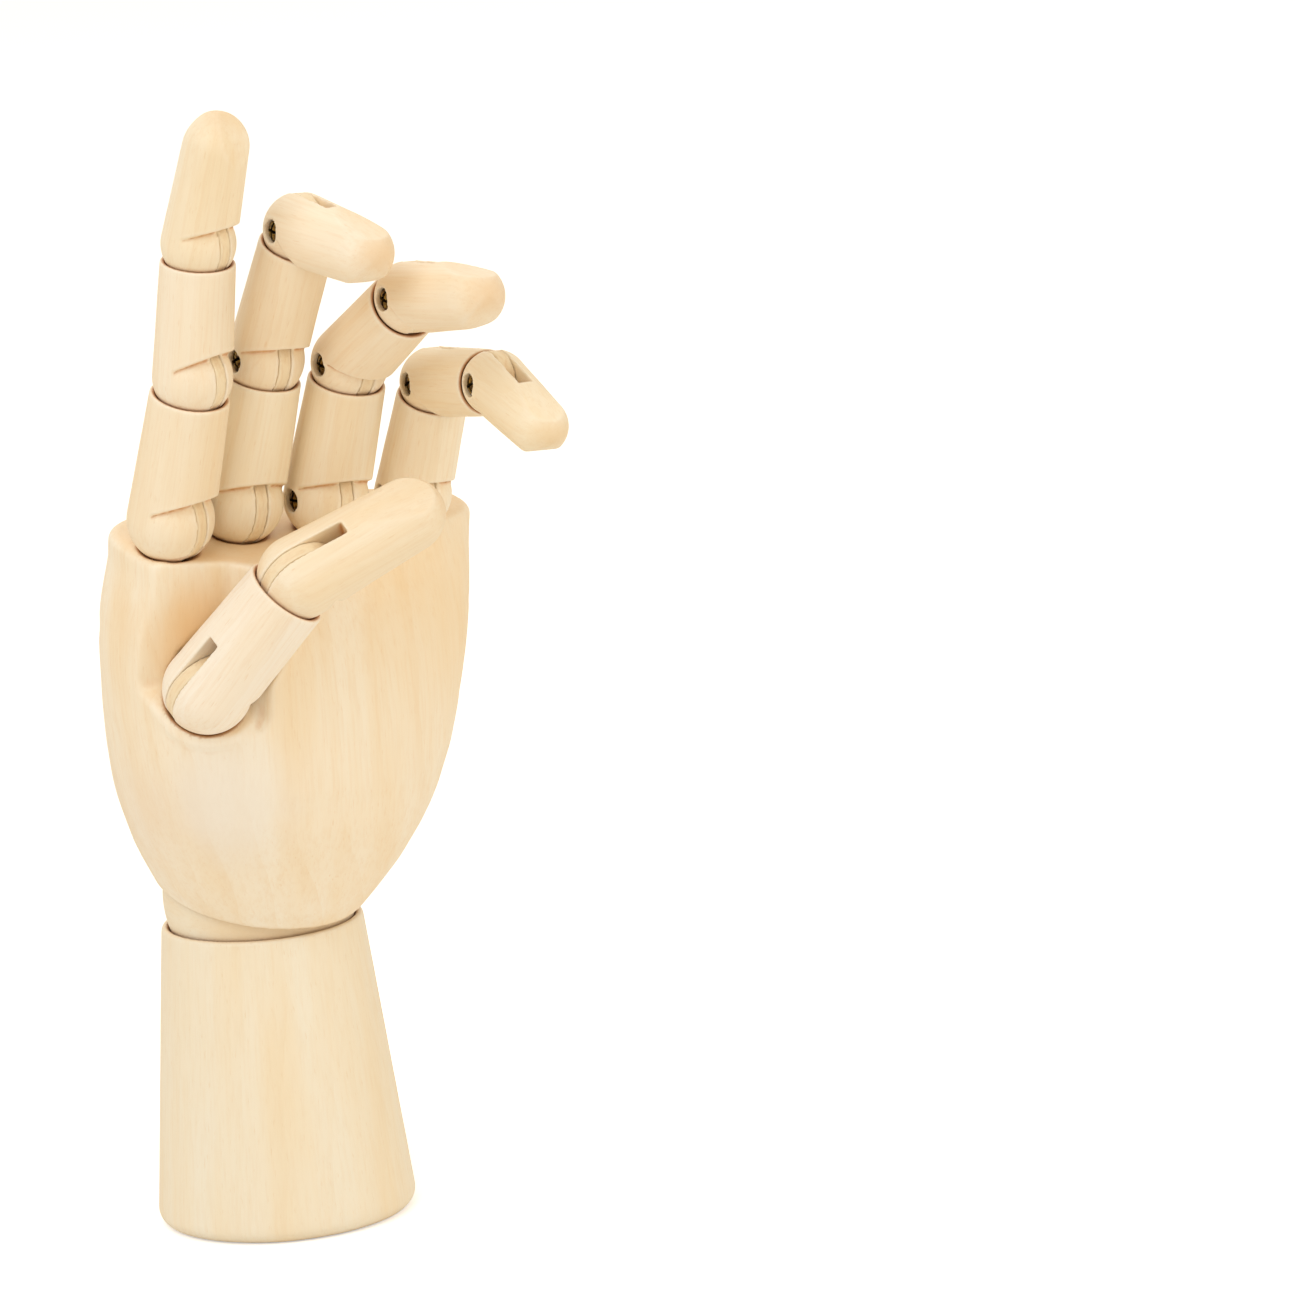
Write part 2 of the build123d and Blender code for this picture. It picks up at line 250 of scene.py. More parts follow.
# Sanded, unfinished beech-like hardwood: pale cream, matt, faint straight streaks, warmer where the fibres end at
# the surface, orange painted shade in hollows, brown painted shade in creases and joint gaps with rub marks on the
# balls, and paler edges that are partly a painted highlight.
# hollow and crease colours are painted shade, orange in hollows and brown in creases and joint gaps; edge is paler
# sanded edges and partly a painted highlight
woods = {
    "palm": {
        "pale": "#FAEFDA", "warm": "#F5DBB0", "ring": "#EECB97", "fibre": "#E8C28F",
        "endGrain": "#EDCB99", "hollow": "#DD9E58", "crease": "#B47638", "edge": "#FCF4E4",
        "ringSpacing": 5.2, "ringStrength": 0.16, "fibreStrength": 0.18, "streakStrength": 0.62,
        # patches on the palm, middle and radius in millimetres, colour and strength: paler low on the front,
        # greyer low on the left, then painted shade warmer down the right side and orange in the thumb's recess
        "patches": (
            ((-17.0, -23.0, 70.0), 13.0, "#F6EFE3", 0.75),
            ((-27.0, -12.0, 68.0), 17.0, "#F0DEC9", 0.45),
            # painted shade, warmer down the right side of the palm
            ((25.0, -16.0, 92.0), 20.0, "#F6D8A6", 0.50),
            # painted shade, orange in the thumb's recess
            ((-17.0, -17.0, 99.0), 9.0, "#ECC288", 0.80),
        ),
    },
    "turned": {
        "pale": "#F4EBD7", "warm": "#F3DDB6", "ring": "#ECD1A6", "fibre": "#E6C89B",
        "endGrain": "#E9CB9E", "hollow": "#CC9660", "crease": "#A0683A", "edge": "#FBF3E3",
        "ringSpacing": 5.6, "ringStrength": 0.12, "fibreStrength": 0.16, "streakStrength": 0.65,
    },
    "finger": {
        "pale": "#F9ECD4", "warm": "#F4DAAE", "ring": "#ECCA98", "fibre": "#E6BF8B",
        "endGrain": "#EBC795", "hollow": "#DC9A54", "crease": "#B47034", "edge": "#FCF3E2",
        "ringSpacing": 3.0, "ringStrength": 0.16, "fibreStrength": 0.18, "streakStrength": 0.60,
    },
    "tongue": {
        "pale": "#F6E6C6", "warm": "#EDCFA0", "ring": "#E2BA85", "fibre": "#DAB078",
        "endGrain": "#E2B982", "hollow": "#CE8F4E", "crease": "#A06430", "edge": "#F8EBD0",
        "ringSpacing": 1.8, "ringStrength": 0.26, "fibreStrength": 0.34, "streakStrength": 0.55,
    },
}
# the near piece of the thumb is given paler colours
woods["paleFinger"] = {**woods["finger"], "pale": "#FCF4E6", "warm": "#F9E8CA", "ring": "#F2DAB4"}

# what all the woods share: noise drawn out along the grain, marks that the shape leaves, and their strengths
woodFigure = {
    # stretch, scale per millimetre, detail, roughness, and the values where its share starts and is full
    "noises": {
        "drift": (6.0, 0.035, 2.0, 0.5, 0.0, 1.0),
        "ringFade": (8.0, 0.06, 1.0, 0.5, 0.35, 0.65),
        "streaks": (14.0, 0.16, 3.0, 0.5, 0.36, 0.66),      # 6 mm wide
        "fibres": (26.0, 1.9, 3.0, 0.6, 0.46, 0.72),        # 0.5 mm wide
        "flecks": (9.0, 4.2, 1.0, 0.5, 0.66, 0.80),         # 0.25 mm wide
        "clouds": (2.5, 0.07, 2.0, 0.5, 0.35, 0.65),
    },
    # attribute of the mesh, and the values where its share starts and is full
    "marks": {
        # marks: painted shade in hollows and creases, paler sanded edges that are partly a painted highlight, and
        # painted shade in the joint gaps with rub marks on the balls
        "hollow": ("relief", 0.10, 0.85),
        "edgeWearAndHighlight": ("relief", -0.25, -1.0),
        "tight": ("crease", 0.35, 1.0),
        "gapShadedAndRubbed": ("shadeAndRubMark", 0.0, 1.0),
    },
    "strengths": {
        "clouds": 0.35, "flecks": 0.35, "endGrain": 0.55, "edgeWearAndHighlight": 0.50, "hollow": 0.70, "creaseShadeAndRub": 0.80,
    },
    "ringDrift": 9.0,
    "ringLine": (0.55, 1.0),
    "endGrain": (0.55, 1.0),
    "patchEdge": (1.5, 0.3, 0.5),       # outside, inside and raggedness, in radii
    "roughness": (0.52, 0.66),
    "bump": (0.35, 0.05 * millimetre),
    "indexOfRefraction": 1.5,
}


# own: place and axes of the piece; pith: where the middle of the tree lies from there, in millimetres
def makeWood(name, wood, own, pith, hueShift=0.0):
    material, tree, shader = newMaterial(name)
    inverse = own.inverted()
    where = addNode(tree, "ShaderNodeTexCoord")
    grain = addNode(tree, "ShaderNodeMapping", {
        "Vector": where.outputs["Object"],
        "Scale": (1000, 1000, 1000),
        "Rotation": inverse.to_euler(),
        "Location": inverse.translation / millimetre - Vector((*pith, 0)),
    })
    place = grain.outputs["Vector"]     # millimetres, with z along the grain

    noise, share = {}, {}
    for pattern, (stretch, scale, detail, rough, low, high) in woodFigure["noises"].items():
        longer = addNode(tree, "ShaderNodeMapping", {"Vector": place, "Scale": (1, 1, 1 / stretch)})
        noise[pattern] = addNode(tree, "ShaderNodeTexNoise", {
            "Vector": longer.outputs[0], "Scale": scale, "Detail": detail, "Roughness": rough})
        share[pattern] = addNode(tree, "ShaderNodeMapRange", {
            "Value": noise[pattern].outputs["Fac"], "From Min": low, "From Max": high}).outputs[0]
    for mark, (attributeName, low, high) in woodFigure["marks"].items():
        attribute = addNode(tree, "ShaderNodeAttribute", attribute_name=attributeName)
        share[mark] = addNode(tree, "ShaderNodeMapRange", {
            "Value": attribute.outputs["Fac"], "From Min": low, "From Max": high}).outputs[0]
    # painted shade in creases and in the joint gaps, with the rub marks on the balls
    share["creaseShadeAndRub"] = addNode(tree, "ShaderNodeMath", {
        0: share["tight"], 1: share["gapShadedAndRubbed"]}, operation="MAXIMUM").outputs[0]

    # growth rings round the pith, drifting along the grain
    shift = addNode(tree, "ShaderNodeVectorMath", {
        0: noise["drift"].outputs["Color"], 1: (0.5, 0.5, 0.5)}, operation="SUBTRACT")
    shift = addNode(tree, "ShaderNodeVectorMath", {
        0: shift.outputs[0], "Scale": woodFigure["ringDrift"]}, operation="SCALE")
    bent = addNode(tree, "ShaderNodeVectorMath", {0: place, 1: shift.outputs[0]}, operation="ADD")
    rings = addNode(tree, "ShaderNodeTexWave", {
        "Vector": bent.outputs[0],
        "Scale": math.pi / 10 / wood["ringSpacing"],
        "Distortion": 1.2, "Detail": 2.0, "Detail Scale": 1.5,
    }, wave_type="RINGS", rings_direction="Z", wave_profile="SAW")
    ringLow, ringHigh = woodFigure["ringLine"]
    ringLine = addNode(tree, "ShaderNodeMapRange", {
        "Value": rings.outputs["Fac"], "From Min": ringLow, "From Max": ringHigh})
    share["rings"] = addNode(tree, "ShaderNodeMath", {
        0: ringLine.outputs[0], 1: share["ringFade"]}, operation="MULTIPLY").outputs[0]

    # end grain drinks the light: warmer where the surface cuts the fibres
    axis = own.to_3x3() @ Vector((0, 0, 1))
    facing = addNode(tree, "ShaderNodeVectorMath", {
        0: where.outputs["Normal"], 1: axis}, operation="DOT_PRODUCT")
    across = addNode(tree, "ShaderNodeMath", {0: facing.outputs["Value"]}, operation="ABSOLUTE")
    endLow, endHigh = woodFigure["endGrain"]
    share["endGrain"] = addNode(tree, "ShaderNodeMapRange", {
        "Value": across.outputs[0], "From Min": endLow, "From Max": endHigh}).outputs[0]

    # patches are ragged at their edges
    patches = []
    outside, inside, ragged = woodFigure["patchEdge"]
    for centre, radius, tint, strength in wood.get("patches", ()):
        far = addNode(tree, "ShaderNodeVectorMath", {
            0: where.outputs["Object"], 1: [c * millimetre for c in centre]}, operation="DISTANCE")
        edge = addNode(tree, "ShaderNodeMath", {
            0: share["clouds"], 1: ragged * radius * millimetre, 2: far.outputs["Value"]},
            operation="MULTIPLY_ADD")
        patch = addNode(tree, "ShaderNodeMapRange", {
            "Value": edge.outputs[0], "From Min": outside * radius * millimetre,
            "From Max": inside * radius * millimetre}, interpolation_type="SMOOTHSTEP")
        patches.append((patch.outputs[0], strength, tint))

    strengths = woodFigure["strengths"]
    layers = [
        (share["streaks"], wood["streakStrength"], wood["warm"]),
        (share["clouds"], strengths["clouds"], wood["pale"]),
        (share["rings"], wood["ringStrength"], wood["ring"]),
        (share["fibres"], wood["fibreStrength"], wood["fibre"]),
        (share["flecks"], strengths["flecks"], wood["fibre"]),
        *patches,
        (share["endGrain"], strengths["endGrain"], wood["endGrain"]),
        # paler sanded edges, partly a painted highlight
        (share["edgeWearAndHighlight"], strengths["edgeWearAndHighlight"], wood["edge"]),
        # painted shade, orange in hollows
        (share["hollow"], strengths["hollow"], wood["hollow"]),
        # painted shade, brown in creases and joint gaps, with rub marks
        (share["creaseShadeAndRub"], strengths["creaseShadeAndRub"], wood["crease"]),
    ]
    colour = toLinear(wood["pale"])
    for layer, strength, tint in layers:
        part = addNode(tree, "ShaderNodeMath", {0: layer, 1: strength}, operation="MULTIPLY")
        colour = addNode(tree, "ShaderNodeMix", {
            0: part.outputs[0], 6: colour, 7: toLinear(tint)}, data_type="RGBA").outputs[2]
    tone = addNode(tree, "ShaderNodeHueSaturation", {
        "Hue": 0.5 + hueShift, "Saturation": 1.0, "Value": 1.0, "Color": colour})
    tree.links.new(tone.outputs[0], shader.inputs["Base Color"])

    smooth, rough = woodFigure["roughness"]
    roughness = addNode(tree, "ShaderNodeMapRange", {
        "Value": share["fibres"], "To Min": smooth, "To Max": rough})
    tree.links.new(roughness.outputs[0], shader.inputs["Roughness"])
    strength, depth = woodFigure["bump"]
    height = addNode(tree, "ShaderNodeMath", {0: share["fibres"], 1: share["flecks"]}, operation="ADD")
    bump = addNode(tree, "ShaderNodeBump", {
        "Strength": strength, "Distance": depth, "Height": height.outputs[0]}, invert=True)
    tree.links.new(bump.outputs[0], shader.inputs["Normal"])
    shader.inputs["IOR"].default_value = woodFigure["indexOfRefraction"]
    return material


# Sanding: a node's shape with its edges broken by hand, in millimetres. The grid is what it is cut from, the
# rounds are passes of the paper, the wobble is left by the block and the swell makes up for what it takes.
sanding = {
    "palm": {
        "grid": 0.42, "rounds": 3, "wobble": 0.05, "swell": 0.0,
        # the left side of the thumb's recess is carved softly
        "softLine": ((-25.2, -20.1, 90.0), (-24.4, -21.0, 107.5)), "softRadius": 1.7, "softRounds": 14,
        # the raised lip of the ledge, below the middle of the thumb's ball
        "lipJoint": "thumb_knuckle_bend", "lipRadius": 8.3, "lipWidth": 0.85, "lipHeight": 0.45,
    },
    "forearm_base": {"grid": 0.42, "rounds": 2, "wobble": 0.03, "swell": 0.0},
    "wrist_ball": {"grid": 0.40, "rounds": 2, "wobble": 0.02, "swell": 0.0},
    "phalanx": {"grid": 0.215, "rounds": 2, "wobble": 0.03, "swell": 0.02},
    "fingertip": {"grid": 0.215, "rounds": 3, "wobble": 0.03, "swell": 0.02},
    "tongue": {"grid": 0.20, "rounds": 2, "wobble": 0.0, "swell": 0.0},
}
waves = {"count": 5, "shortest": 6, "longest": 16, "sink": 0.6}
# how far relief and crease look along the surface, and the depth that counts as full, in millimetres
reliefReach = {"relief": (1.1, 0.30), "crease": (0.45, 0.10)}


def relaxed(points, ends, rounds):
    count = len(points)
    neighbours = np.bincount(ends.ravel(), minlength=count)[:, None]
    for _ in range(rounds):
        total = np.stack([
            np.bincount(ends[:, 0], points[ends[:, 1], k], count)
            + np.bincount(ends[:, 1], points[ends[:, 0], k], count)
            for k in range(3)
        ], axis=1)
        points = 0.5 * points + 0.5 * total / neighbours
    return points


# the node's mesh, with its doubles merged, cut again on a fine grid
def gridMesh(node, name, grid):
    mesh = nodes[node].data.copy()
    work = bmesh.new()
    work.from_mesh(mesh)
    bmesh.ops.remove_doubles(work, verts=work.verts, dist=0.001 * millimetre)
    work.to_mesh(mesh)
    work.free()
    piece = newObject(name, mesh)
    remesh = piece.modifiers.new("grid", "REMESH")
    remesh.mode = "VOXEL"
    remesh.voxel_size = grid * millimetre
    depsgraph = bpy.context.evaluated_depsgraph_get()
    fine = bpy.data.meshes.new_from_object(piece.evaluated_get(depsgraph))
    piece.modifiers.remove(remesh)
    piece.data = fine
    fine.name = name
    fine.materials.clear()
    return piece


def softenLine(points, ends, setup):
    start, end = (np.array(corner) * millimetre for corner in setup["softLine"])
    share = np.clip((points - start) @ (end - start) / ((end - start) @ (end - start)), 0, 1)
    away = np.linalg.norm(points - start - share[:, None] * (end - start), axis=1)
    weight = np.exp(-(away / (setup["softRadius"] * millimetre)) ** 2)[:, None]
    return points + weight * (relaxed(points, ends, setup["softRounds"]) - points)


# slow waves, between 0 and 1 wobble below the swollen surface
def waveHeight(points, setup, seed):
    chance = np.random.default_rng(seed)
    height = np.zeros(len(points))
    for _ in range(waves["count"]):
        direction = chance.normal(size=3)
        direction /= np.linalg.norm(direction)
        length = chance.uniform(waves["shortest"], waves["longest"]) * millimetre
        height += np.sin(points @ direction * 2 * math.pi / length + chance.uniform(0, 6.28))
    height = (height / waves["count"] - waves["sink"]) * setup["wobble"] + setup["swell"]
    return height[:, None] * millimetre


def lipHeight(points, setup):
    radius = setup["lipRadius"] * millimetre
    away = points - np.array(jointPlace(setup["lipJoint"]))
    ring = np.exp(-((np.linalg.norm(away, axis=1) - radius) / (setup["lipWidth"] * millimetre)) ** 2)
    lower = np.clip(-away[:, 2] / radius + 0.2, 0, 1)
    return (ring * lower)[:, None] * setup["lipHeight"] * millimetre


def sandedPiece(node, name, setup, seed):
    piece = gridMesh(node, name, setup["grid"])
    mesh = piece.data
    ends = np.empty(len(mesh.edges) * 2, int)
    mesh.edges.foreach_get("vertices", ends)
    ends = ends.reshape(-1, 2)
    points = relaxed(meshPoints(mesh), ends, setup["rounds"])
    if "softLine" in setup:
        points = softenLine(points, ends, setup)
    placePoints(mesh, points)
    low, high = points.min(axis=0), points.max(axis=0)
    normals = vertexNormals(mesh)
    points = points + normals * waveHeight(points, setup, seed)
    if "lipJoint" in setup:
        points = points + normals * lipHeight(points, setup)
    points = np.clip(points, low, high)
    placePoints(mesh, points)

    # relief and crease: above 0 in hollows, below 0 on edges, wide and narrow
    normals = vertexNormals(mesh)
    for mark, (reach, depth) in reliefReach.items():
        smooth = relaxed(points, ends, int(2 * (reach / setup["grid"]) ** 2))
        hollow = ((smooth - points) * normals).sum(axis=1) / (depth * millimetre)
        attribute = mesh.attributes.new(mark, "FLOAT", "POINT")
        attribute.data.foreach_set("value", np.clip(hollow, -1, 1).astype(np.float32))
    mesh.shade_smooth()
    return piece


def dressNode(node, setup, material, seed):
    piece = sandedPiece(node, "sanded_" + node, setup, seed)
    piece.data.materials.append(material)
    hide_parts(node)
    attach(piece, bodyOfNode[node])
    return piece


# base and ball of the wrist
wristPlace = jointPlace("wrist_bend")
baseGrain = grainFrame((0, 0, 0), (0.02, 0, 1), (1, 0, 0))
baseWood = makeWood("turnedBeechBase", woods["turned"], baseGrain, (-31.0, 22.0))
turnedBase = dressNode("forearm_base", sanding["forearm_base"], baseWood, 11)
ballGrain = grainFrame(wristPlace, (0.3, 1, 0.1), (1, 0, 0))
ballWood = makeWood("turnedBeechBall", woods["turned"], ballGrain, (14.0, 9.0))
turnedBall = dressNode("wrist_ball", sanding["wrist_ball"], ballWood, 12)
print("base and ball turned")

# palm
palmAlong = jointPlace("middle_knuckle_bend") - wristPlace
palmGrain = grainFrame(wristPlace, palmAlong + Vector((0.004, 0.010, 0)), (1, 0.1, 0))
palmWood = makeWood("carvedBeechPalm", woods["palm"], palmGrain, (-38.0, 26.0))
carvedPalm = dressNode("palm", sanding["palm"], palmWood, 13)
print("palm carved")

# fingers and thumb: each piece has its own place in the board, tilt of its grain and shade
fingerWood = {
    "seeds": {"index": 21, "middle": 32, "ring": 43, "little": 54, "thumb": 65},
    "tilt": 0.03,
    "hueShift": 0.004,
    "pith": (10, 26),
    "tonguePith": (6, 14),
    "tongueSeedStep": 5,
}


def farthestPoint(node, origin):
    points = meshPoints(nodes[node].data)
    reach = np.linalg.norm(points - np.array(origin), axis=1)
    return Vector(points[reach.argmax()])


fingerPiece = {}
for finger, pieces in fingerPieces.items():
    seed = fingerWood["seeds"][finger]
    chance = np.random.default_rng(seed)
    for order, (joint, part) in enumerate(pieces):
        node = f"{finger}_{part}"
        hinge = jointByName[f"{finger}_{joint}_bend"]
        origin = Vector(hinge["pos_m"])
        last = order + 1 == len(pieces)
        if last:
            end = farthestPoint(node, origin)
        else:
            end = jointPlace(f"{finger}_{pieces[order + 1][0]}_bend")
        across = Vector(hinge["axis"])
        along = end - origin
        along -= along.dot(across) * across
        tilt = chance.normal(size=3) * fingerWood["tilt"] * along.length
        own = grainFrame(origin, along + Vector(tilt), across)
        pith = chance.uniform(*fingerWood["pith"], 2) * chance.choice((-1, 1), 2)
        hueShift = float(chance.uniform(-fingerWood["hueShift"], fingerWood["hueShift"]))
        board = woods["paleFinger" if node == "thumb_proximal" else "finger"]
        sanded = makeWood(f"sandedBeech_{node}", board, own, tuple(pith), hueShift)
        setup = sanding["fingertip" if last else "phalanx"]
        fingerPiece[finger, order] = dressNode(node, setup, sanded, seed + order)
        pith = chance.uniform(*fingerWood["tonguePith"], 2) * chance.choice((-1, 1), 2)
        sawn = makeWood(f"sawnBeech_{finger}_{joint}", woods["tongue"], own, tuple(pith))
        dressNode(f"{finger}_{joint}_tongue", sanding["tongue"], sawn,
                  seed + order + fingerWood["tongueSeedStep"])
    print(finger, "sanded")

# painted shade in the gap where a ball runs in its cup, and rub marks on the ball: how far it reaches from the
# ball and over the rim, its soft edge, the depth of the ring that the rim rubs on the ball, and the shares on that
# ring and deeper in
jointShadeBand = {
    "cup": 0.60 * millimetre,
    "rim": 0.15 * millimetre,
    "fade": 0.25 * millimetre,
    "ringDepth": 0.75 * millimetre,
    "ringShare": 0.45,
    "deepShare": 0.08,
}


# keeps the strongest painted joint shade given to each point
def shadeAndRubMark(piece, share):
    mesh = piece.data
    known = mesh.attributes.get("shadeAndRubMark")
    if known is None:
        known = mesh.attributes.new("shadeAndRubMark", "FLOAT", "POINT")
    old = np.empty(len(mesh.vertices), np.float32)
    known.data.foreach_get("value", old)
    known.data.foreach_set("value", np.maximum(old, share).astype(np.float32))


# an open ball keeps its own colour and only the cup gets the painted joint shade: the thumb's ledge and the cup of
# the palm
def markJointShadeAndRub(cupPiece, ballPiece, centre, along, openBall):
    centre, along = np.array(centre), np.array(along.normalized())
    ball = meshPoints(ballPiece.data) - centre
    cup = meshPoints(cupPiece.data) - centre
    cupAway, ballAway = np.linalg.norm(cup, axis=1), np.linalg.norm(ball, axis=1)
    # most of what lies well behind the centre is the ball itself
    radius = float(np.percentile(ballAway[ball @ along < -0.2 * np.median(ballAway)], 60))
    rim = float(np.percentile((cup @ along)[cupAway < radius + jointShadeBand["cup"]], 98))
    share = np.clip((radius + jointShadeBand["cup"] - cupAway) / jointShadeBand["fade"], 0, 1)
    shadeAndRubMark(cupPiece, share)
    if openBall:
        return
    depth = rim + jointShadeBand["rim"] - ball @ along
    below = np.clip(depth / jointShadeBand["fade"], 0, 1)
    past = np.clip((depth - jointShadeBand["ringDepth"]) / (2 * jointShadeBand["fade"]), 0, 1)
    share = jointShadeBand["ringShare"] + past * (jointShadeBand["deepShare"] - jointShadeBand["ringShare"])
    shadeAndRubMark(ballPiece, below * share * (ballAway < radius + jointShadeBand["cup"]))


markJointShadeAndRub(turnedBase, turnedBall, wristPlace, Vector((0, 0, 1)), False)
markJointShadeAndRub(carvedPalm, turnedBall, wristPlace, -palmAlong, True)
for finger, pieces in fingerPieces.items():
    carrier, carrierPlace = carvedPalm, wristPlace
    for order, (joint, part) in enumerate(pieces):
        centre = jointPlace(f"{finger}_{joint}_bend")
        openBall = finger == "thumb" and order == 0
        along = -Vector(jointByName["thumb_swivel"]["axis"]) if openBall else centre - carrierPlace
        markJointShadeAndRub(carrier, fingerPiece[finger, order], centre, along, openBall)
        carrier, carrierPlace = fingerPiece[finger, order], centre
# the joints now carry their painted shade and rub marks
print("joints burnished")

# Brass screw stock, tumbled and darkened: a brown film, with yellow metal where it is rubbed and dirt in the
# cross. Zinc plated spring wire: grey and half bright. Scales are per metre, so the blotches are about 1 mm.
metals = {
    "agedBrassPins": {
        "dark": "#4A3216", "bright": "#A8873F", "dirt": "#1E140A", "metallic": 0.85,
        "scale": 1400.0, "detail": 3.0, "rough": 0.6, "ramp": (0.42, 0.62),
        "roughness": (0.62, 0.38), "bump": (0.5, 0.06 * millimetre),
    },
    "drawnSteelWire": {
        "dark": "#8E8F8F", "bright": "#C3C4C2", "metallic": 1.0,
        "scale": 900.0, "detail": 2.0, "rough": 0.5, "ramp": (0.0, 1.0),
        "roughness": (0.28, 0.45),
    },
}


def makeMetal(name, metal):
    material, tree, shader = newMaterial(name)
    where = addNode(tree, "ShaderNodeTexCoord")
    blotch = addNode(tree, "ShaderNodeTexNoise", {
        "Vector": where.outputs["Object"], "Scale": metal["scale"], "Detail": metal["detail"],
        "Roughness": metal["rough"]}).outputs["Fac"]
    share = addNode(tree, "ShaderNodeMapRange", {
        "Value": blotch, "From Min": metal["ramp"][0], "From Max": metal["ramp"][1]})
    colour = addNode(tree, "ShaderNodeMix", {
        0: share.outputs[0], 6: toLinear(metal["dark"]), 7: toLinear(metal["bright"])}, data_type="RGBA")
    if "dirt" in metal:
        dirt = addNode(tree, "ShaderNodeAttribute", attribute_name="dirt")
        colour = addNode(tree, "ShaderNodeMix", {
            0: dirt.outputs["Fac"], 6: colour.outputs[2], 7: toLinear(metal["dirt"])}, data_type="RGBA")
    tree.links.new(colour.outputs[2], shader.inputs["Base Color"])
    roughness = addNode(tree, "ShaderNodeMapRange", {
        "Value": blotch, "To Min": metal["roughness"][0], "To Max": metal["roughness"][1]})
    tree.links.new(roughness.outputs[0], shader.inputs["Roughness"])
    if "bump" in metal:
        strength, depth = metal["bump"]
        bump = addNode(tree, "ShaderNodeBump", {"Strength": strength, "Distance": depth, "Height": blotch})
        tree.links.new(bump.outputs[0], shader.inputs["Normal"])
    shader.inputs["Metallic"].default_value = metal["metallic"]
    return material


agedBrass, drawnSteel = (makeMetal(name, metal) for name, metal in metals.items())

# cross-slotted brass pins in the ball ends, in millimetres until the last step
pinShape = {
    "radius": 1.72,
    "domeRadius": 5.0,
    "domeStretch": 2.4,
    "crossLength": 2.5,
    "crossNarrowing": 0.96,     # of the second slot
    "crossWidth": 0.50,
    "crossDepth": 1.0,
    "dirtDepth": (-0.3, -0.8),
    "sides": 48,
    "seed": 7,
}


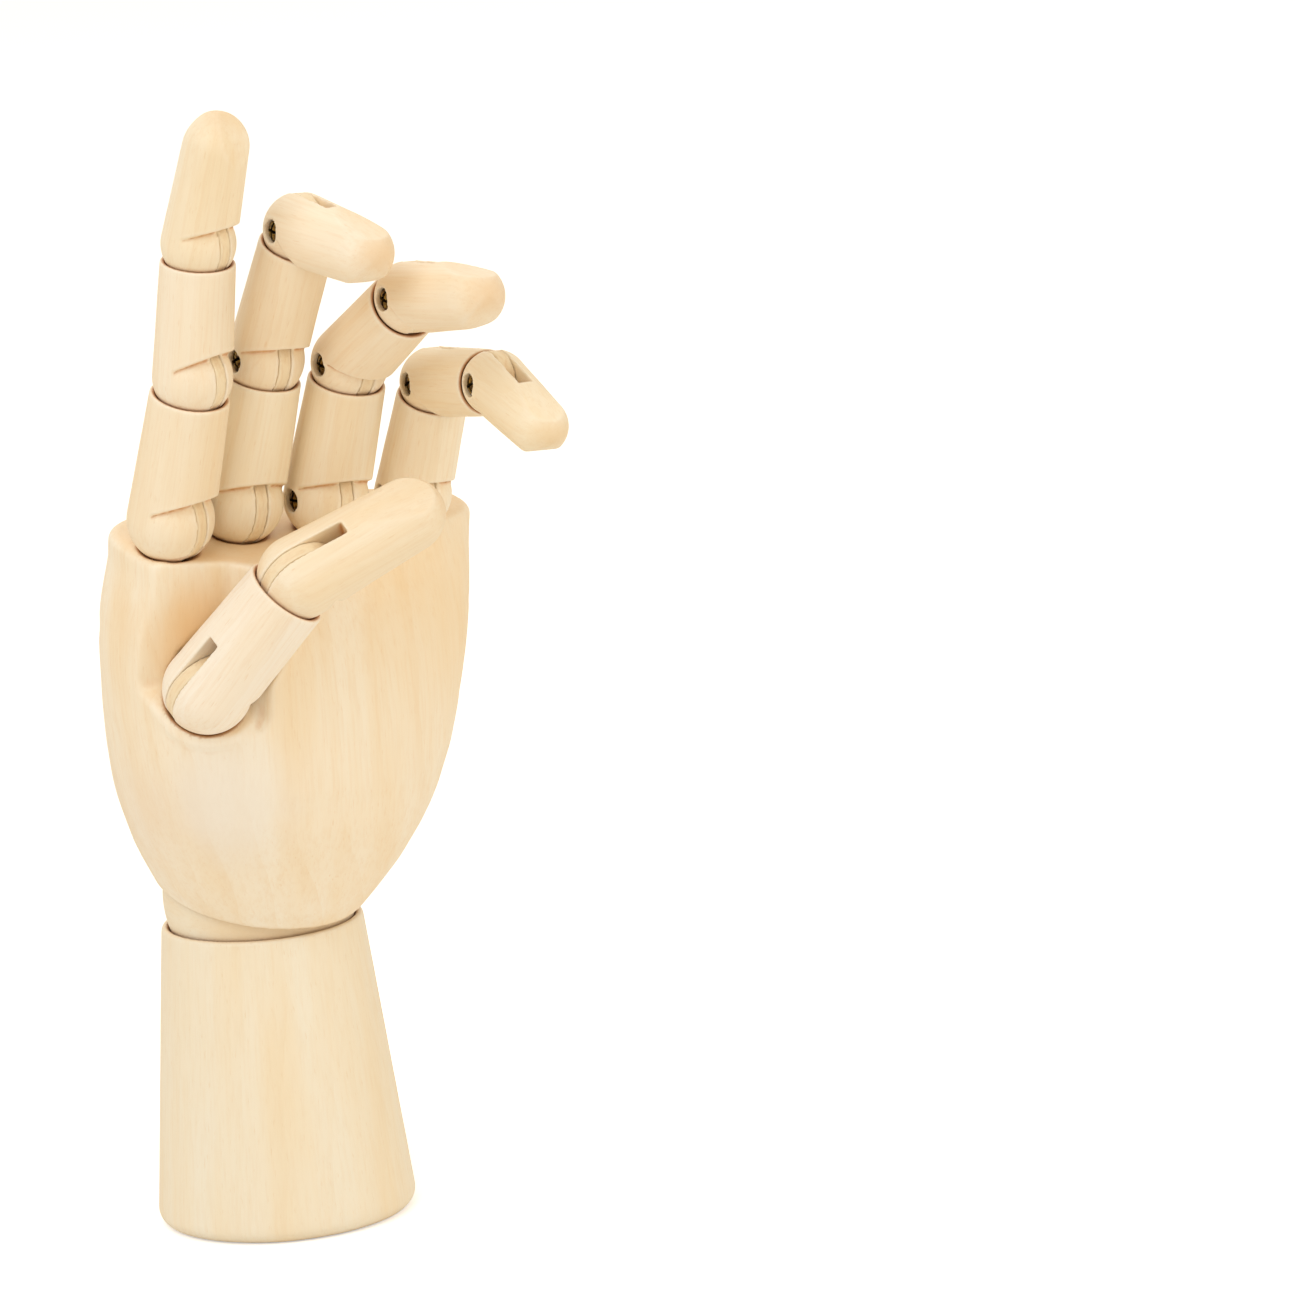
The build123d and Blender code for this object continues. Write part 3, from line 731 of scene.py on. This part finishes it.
# a pin along z with its head at z = 0: a turned blank, rounded by a long ball and cut by a cross
def makePinTree(shape):
    tree = bpy.data.node_groups.new("crossSlottedPin", "GeometryNodeTree")
    tree.interface.new_socket("Geometry", in_out="OUTPUT", socket_type="NodeSocketGeometry")
    for name, kind in (("Length", "Float"), ("Cross turn", "Float"), ("Head", "Vector"),
                       ("Rotation", "Vector"), ("Material", "Material")):
        tree.interface.new_socket(name, in_out="INPUT", socket_type="NodeSocket" + kind)
    given = addNode(tree, "NodeGroupInput")
    lower = addNode(tree, "ShaderNodeMath", {0: given.outputs["Length"], 1: -0.5}, operation="MULTIPLY")
    middle = addNode(tree, "ShaderNodeCombineXYZ", {"Z": lower.outputs[0]})
    blank = addNode(tree, "GeometryNodeMeshCylinder", {
        "Vertices": shape["sides"], "Radius": shape["radius"], "Depth": given.outputs["Length"]})
    blank = addNode(tree, "GeometryNodeTransform", {
        "Geometry": blank.outputs["Mesh"], "Translation": middle.outputs[0]})
    ball = addNode(tree, "GeometryNodeMeshUVSphere", {
        "Segments": shape["sides"], "Rings": shape["sides"] // 2, "Radius": shape["domeRadius"]})
    ball = addNode(tree, "GeometryNodeTransform", {
        "Geometry": ball.outputs["Mesh"], "Scale": (1, 1, shape["domeStretch"]),
        "Translation": (0, 0, -shape["domeRadius"] * shape["domeStretch"])})
    pin = addNode(tree, "GeometryNodeMeshBoolean", operation="INTERSECT", solver="EXACT")
    tree.links.new(blank.outputs[0], pin.inputs["Mesh 2"])
    tree.links.new(ball.outputs[0], pin.inputs["Mesh 2"])
    second = shape["crossNarrowing"] * shape["crossLength"]
    for turn, length in ((0.0, shape["crossLength"]), (math.pi / 2, second)):
        wing = addNode(tree, "GeometryNodeMeshCube", {
            "Size": (length, shape["crossWidth"], 2 * shape["crossDepth"])})
        angle = addNode(tree, "ShaderNodeMath", {0: given.outputs["Cross turn"], 1: turn})
        angle = addNode(tree, "ShaderNodeCombineXYZ", {"Z": angle.outputs[0]})
        wing = addNode(tree, "GeometryNodeTransform", {
            "Geometry": wing.outputs["Mesh"], "Rotation": angle.outputs[0]})
        pin = addNode(tree, "GeometryNodeMeshBoolean", {
            "Mesh 1": pin.outputs["Mesh"], "Mesh 2": wing.outputs[0]},
            operation="DIFFERENCE", solver="EXACT")
    # dirt in the cross
    dirtStart, dirtFull = shape["dirtDepth"]
    spot = addNode(tree, "GeometryNodeInputPosition")
    depth = addNode(tree, "ShaderNodeSeparateXYZ", {0: spot.outputs[0]})
    dirt = addNode(tree, "ShaderNodeMapRange", {
        "Value": depth.outputs["Z"], "From Min": dirtStart * shape["crossDepth"],
        "From Max": dirtFull * shape["crossDepth"]})
    marked = addNode(tree, "GeometryNodeStoreNamedAttribute", {
        "Geometry": pin.outputs["Mesh"], "Name": "dirt", "Value": dirt.outputs[0]},
        data_type="FLOAT", domain="POINT")
    turned = addNode(tree, "GeometryNodeTransform", {
        "Geometry": marked.outputs[0], "Rotation": given.outputs["Rotation"],
        "Scale": (millimetre, millimetre, millimetre), "Translation": given.outputs["Head"]})
    real = addNode(tree, "GeometryNodeRealizeInstances", {"Geometry": turned.outputs[0]})
    covered = addNode(tree, "GeometryNodeSetMaterial", {
        "Geometry": real.outputs[0], "Material": given.outputs["Material"]})
    addNode(tree, "NodeGroupOutput", {"Geometry": covered.outputs[0]})
    return tree


pinTree = makePinTree(pinShape)
pinInputs = {
    item.name: item.identifier for item in pinTree.interface.items_tree
    if item.item_type == "SOCKET" and item.in_out == "INPUT"
}


# the head end of a pin's node is the one farther from the middle of the ball that holds it
def makePin(node, joint, crossTurn):
    axis = Vector(jointByName[joint]["axis"]).normalized()
    centre = jointPlace(joint)
    along = (meshPoints(nodes[node].data) - np.array(centre)) @ np.array(axis)
    low, high = float(along.min()), float(along.max())
    outward = axis if high > -low else -axis
    name = "crossSlotted_" + node
    pin = newObject(name, bpy.data.meshes.new(name))
    builder = pin.modifiers.new("pin", "NODES")
    builder.node_group = pinTree
    builder[pinInputs["Length"]] = (high - low) / millimetre
    builder[pinInputs["Cross turn"]] = crossTurn
    builder[pinInputs["Head"]] = centre + outward * max(high, -low)
    builder[pinInputs["Rotation"]] = outward.to_track_quat("Z", "Y").to_euler()
    builder[pinInputs["Material"]] = agedBrass
    depsgraph = bpy.context.evaluated_depsgraph_get()
    plain = bpy.data.meshes.new_from_object(pin.evaluated_get(depsgraph))
    pin.modifiers.remove(builder)
    pin.data = plain
    plain.name = name
    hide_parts(node)
    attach(pin, bodyOfNode[node])


chance = np.random.default_rng(pinShape["seed"])
for finger, pieces in fingerPieces.items():
    for joint, part in pieces:
        makePin(f"{finger}_{joint}_pin", f"{finger}_{joint}_bend", float(chance.uniform(0, math.pi / 2)))
print("pins slotted")

# the spring, its hook, the eye and the anchor keep their own shape
for node, shape in nodes.items():
    if slotOfNode[node] == "spring_steel":
        shape.data.materials.clear()
        shape.data.materials.append(drawnSteel)
print("steel finished")
